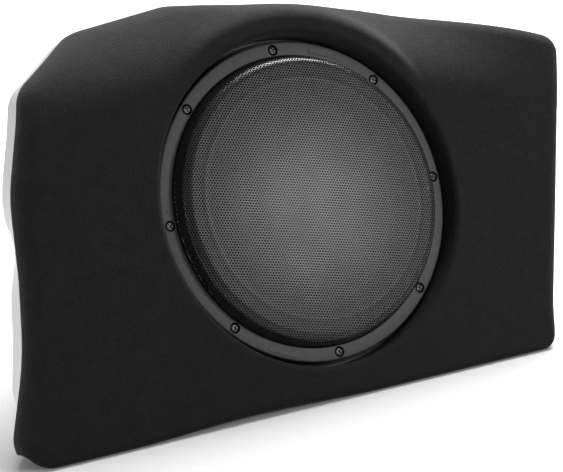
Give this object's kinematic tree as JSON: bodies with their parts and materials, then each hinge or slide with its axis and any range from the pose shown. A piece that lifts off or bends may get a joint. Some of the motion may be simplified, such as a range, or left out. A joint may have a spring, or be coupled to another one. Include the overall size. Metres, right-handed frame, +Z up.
{
  "type": "powered car subwoofer",
  "caption": "Vehicle-fit powered subwoofer: carpeted moulded front leaning back, woofer behind a perforated steel grille, fibreglass rear shell, plate amplifier with controls at the back.",
  "frame": {"origin": "centre of the bounding box's base, on the boot floor", "axes": "+X to the right seen from the front, +Y to the back, +Z up; the woofer looks towards -Y and leans back 24.5 degrees"},
  "size_m": [0.5986, 0.2736, 0.3081],
  "materials": {
    "black_anodised": "satin",
    "black_carpet": "matte",
    "black_moulding": "matte",
    "black_oxide": "satin",
    "bracket_steel": "satin",
    "capacitor_sleeve": "gloss",
    "circuit_green": "satin",
    "coil_copper": "polished",
    "cone_pp": "matte",
    "enamelled_wire": "satin",
    "epoxy": "matte",
    "ferrite": "matte",
    "former_film": "gloss",
    "fuse_plastic": "gloss",
    "grey_gelcoat": "satin",
    "grille_steel": "satin",
    "knob_plastic": "matte",
    "led_lens": "gloss",
    "mdf": "matte",
    "nylon": "matte",
    "painted_steel": "satin",
    "ring_plastic": "satin",
    "seal_foam": "matte",
    "spider_cloth": "matte",
    "surround_rubber": "matte",
    "switch_plastic": "satin",
    "tinsel": "matte",
    "wire_black": "satin",
    "wire_red": "satin",
    "zinc_sheet": "satin",
    "zinc_steel": "brushed"
  },
  "bodies": {
    "enclosure": {"amp_gasket": "seal_foam", "amp_housing": "zinc_sheet", "amp_panel": "black_anodised", "amp_screw_1": "black_oxide", "amp_screw_2": "black_oxide", "amp_screw_3": "black_oxide", "amp_screw_4": "black_oxide", "back_plate": "zinc_steel", "baffle_ring": "mdf", "bracket_bolt_1": "black_oxide", "bracket_bolt_2": "black_oxide", "capacitor_1": "capacitor_sleeve", "capacitor_2": "capacitor_sleeve", "carpet_cover": "black_carpet", "circuit_board": "circuit_green", "control_block": "nylon", "floor_bracket_1": "bracket_steel", "floor_bracket_2": "bracket_steel", "front_shell": "black_moulding", "fuse_1": "fuse_plastic", "fuse_2": "fuse_plastic", "grille_mesh": "grille_steel", "heatsink": "black_anodised", "magnet": "ferrite", "power_terminals": "nylon", "power_transistor_1": "epoxy", "power_transistor_2": "epoxy", "rca_jacks": "nylon", "rear_shell": "grey_gelcoat", "speaker_wire_black": "wire_black", "speaker_wire_red": "wire_red", "spider": "spider_cloth", "status_led": "led_lens", "surround": "surround_rubber", "terminal_block": "nylon", "tinsel_lead_1": "tinsel", "tinsel_lead_2": "tinsel", "top_plate": "zinc_steel", "transformer": "enamelled_wire", "trim_ring": "ring_plastic", "trim_screw_1": "black_oxide", "trim_screw_2": "black_oxide", "trim_screw_3": "black_oxide", "trim_screw_4": "black_oxide", "trim_screw_5": "black_oxide", "trim_screw_6": "black_oxide", "trim_screw_7": "black_oxide", "trim_screw_8": "black_oxide", "woofer_basket": "painted_steel", "woofer_gasket": "seal_foam"},
    "cone_assembly": {"woofer_cone": "cone_pp", "dust_cap": "cone_pp", "coil_former": "former_film", "voice_coil": "coil_copper"},
    "gain_knob_body": {"gain_knob": "knob_plastic"},
    "crossover_knob_body": {"crossover_knob": "knob_plastic"},
    "bass_knob_body": {"bass_knob": "knob_plastic"},
    "phase_switch_body": {"phase_switch": "switch_plastic"},
    "input_switch_body": {"input_switch": "switch_plastic"}
  },
  "joints": [
    {"name": "cone_travel", "type": "slide", "parent": "enclosure", "child": "cone_assembly", "axis": [0, -0.91, 0.4147], "range_m": [-0.009, 0.009], "stiffness_N_per_m": 4500, "deforming": ["surround", "spider", "tinsel_lead_1", "tinsel_lead_2"]},
    {"name": "gain_turn", "type": "hinge", "parent": "enclosure", "child": "gain_knob_body", "pos_m": [0.09239, 0.10449, 0.126], "axis": [0, 1, 0], "range_deg": [-140, 140]},
    {"name": "crossover_turn", "type": "hinge", "parent": "enclosure", "child": "crossover_knob_body", "pos_m": [0.11639, 0.10449, 0.126], "axis": [0, 1, 0], "range_deg": [-140, 140]},
    {"name": "bass_turn", "type": "hinge", "parent": "enclosure", "child": "bass_knob_body", "pos_m": [0.14039, 0.10449, 0.126], "axis": [0, 1, 0], "range_deg": [-140, 140]},
    {"name": "phase_slide", "type": "slide", "parent": "enclosure", "child": "phase_switch_body", "axis": [-1, 0, 0], "range_m": [0, 0.004]},
    {"name": "input_slide", "type": "slide", "parent": "enclosure", "child": "input_switch_body", "axis": [-1, 0, 0], "range_m": [0, 0.004]}
  ]
}
